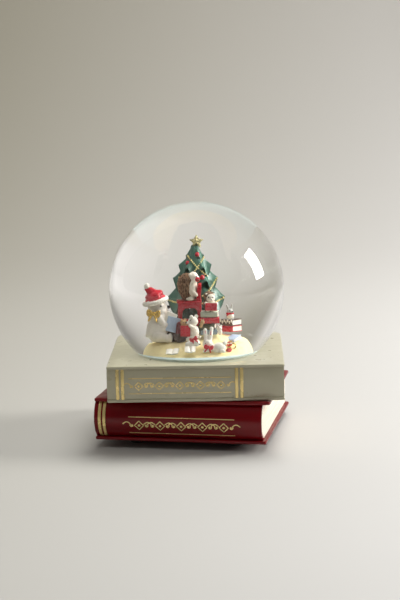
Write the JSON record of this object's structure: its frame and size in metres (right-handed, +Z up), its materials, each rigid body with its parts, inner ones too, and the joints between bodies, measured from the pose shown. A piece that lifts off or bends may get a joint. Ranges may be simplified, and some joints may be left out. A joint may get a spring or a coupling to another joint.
{
  "type": "snow globe",
  "caption": "Musical snow globe on a base shaped like two stacked books, with animals reading around a decorated tree and a wind-up movement under it.",
  "frame": {"origin": "on the surface the globe stands on, under the middle of the whole object's bounding box", "axes": "+Z up; the book spines, which are the front, face -Y; +X to the viewer's right"},
  "size_m": [0.1136, 0.1108, 0.1347],
  "materials": {
    "olive_cloth": "satin cloth-textured cover",
    "red_cover": "glossy lacquer",
    "pages": "fine ridges, matte",
    "glass": "polished",
    "rubber": "matte",
    "seat_blue": "satin",
    "sand": "fine grain",
    "tree_green": "hand painted",
    "gold": "metallic paint with glitter",
    "red_paint": "hand painted",
    "white_fur": "carved fur, matte",
    "grey_fur": "carved fur, matte",
    "brown_fur": "carved spines, matte",
    "blue_paint": "hand painted",
    "pale_book": "hand painted",
    "dark_book": "hand painted",
    "steel": "bright",
    "brass": "machined",
    "cast_zinc": "die cast",
    "black_plastic": "moulded"
  },
  "bodies": {
    "base": {"base_plate": "black_plastic", "bear_book": "blue_paint", "brown_fox": "brown_fur", "chair_hedgehog": "brown_fur", "christmas_tree": "tree_green", "comb": "steel", "comb_screw_1": "steel", "comb_screw_2": "steel", "floor_bauble": "red_paint", "foot_1": "rubber", "foot_2": "rubber", "foot_3": "rubber", "foot_4": "rubber", "front_book": "pale_book", "glass_globe": "glass", "gold_bow": "gold", "governor_bracket": "cast_zinc", "grey_rabbit": "grey_fur", "hedgehog_book": "red_paint", "held_bauble": "red_paint", "left_book": "pale_book", "lower_book_cover": "red_cover", "lower_book_pages": "pages", "lying_cub": "white_fur", "lying_rabbit": "white_fur", "mainspring": "steel", "movement_frame": "cast_zinc", "movement_screw_1": "steel", "movement_screw_2": "steel", "pile_book_dark": "dark_book", "pile_book_red": "red_paint", "plate_screw_1": "steel", "plate_screw_2": "steel", "plate_screw_3": "steel", "plate_screw_4": "steel", "polar_bear": "white_fur", "reading_hedgehog": "brown_fur", "red_chair": "red_paint", "rubber_stopper": "rubber", "sand_ground": "sand", "santa_hat": "red_paint", "seat_disc": "seat_blue", "side_book_blue": "blue_paint", "side_book_brown": "dark_book", "side_book_red": "red_paint", "small_bear": "white_fur", "small_bear_book": "red_paint", "spring_housing": "cast_zinc", "stack_book_blue": "blue_paint", "stack_book_dark": "dark_book", "stack_book_pale": "pale_book", "stack_book_red": "red_paint", "tree_star": "gold", "upper_book_cover": "olive_cloth", "upper_book_pages": "pages"},
    "winding": {"winding_key": "steel", "great_wheel": "brass"},
    "pin_cylinder": {"pin_cylinder": "brass"},
    "transfer_wheel": {"transfer_wheel": "brass"},
    "governor": {"governor": "steel"}
  },
  "joints": [
    {"name": "key_turn", "type": "hinge", "parent": "base", "child": "winding", "pos_m": [-0.013, 0.0015, 0.02], "axis": [0, 0, 1], "continuous": true},
    {"name": "cylinder_spin", "type": "hinge", "parent": "base", "child": "pin_cylinder", "pos_m": [0, 0.0015, 0.0258], "axis": [1, 0, 0], "continuous": true},
    {"name": "transfer_spin", "type": "hinge", "parent": "base", "child": "transfer_wheel", "pos_m": [0, -0.0066, 0.0258], "axis": [1, 0, 0], "continuous": true},
    {"name": "governor_spin", "type": "hinge", "parent": "base", "child": "governor", "pos_m": [0.021, -0.0133, 0.03], "axis": [0, 0, 1], "continuous": true}
  ],
  "couplings": [
    {"joint": "cylinder_spin", "follows": "key_turn", "ratio": 2.4},
    {"joint": "transfer_spin", "follows": "key_turn", "ratio": -7.2},
    {"joint": "governor_spin", "follows": "key_turn", "ratio": 57.6}
  ]
}
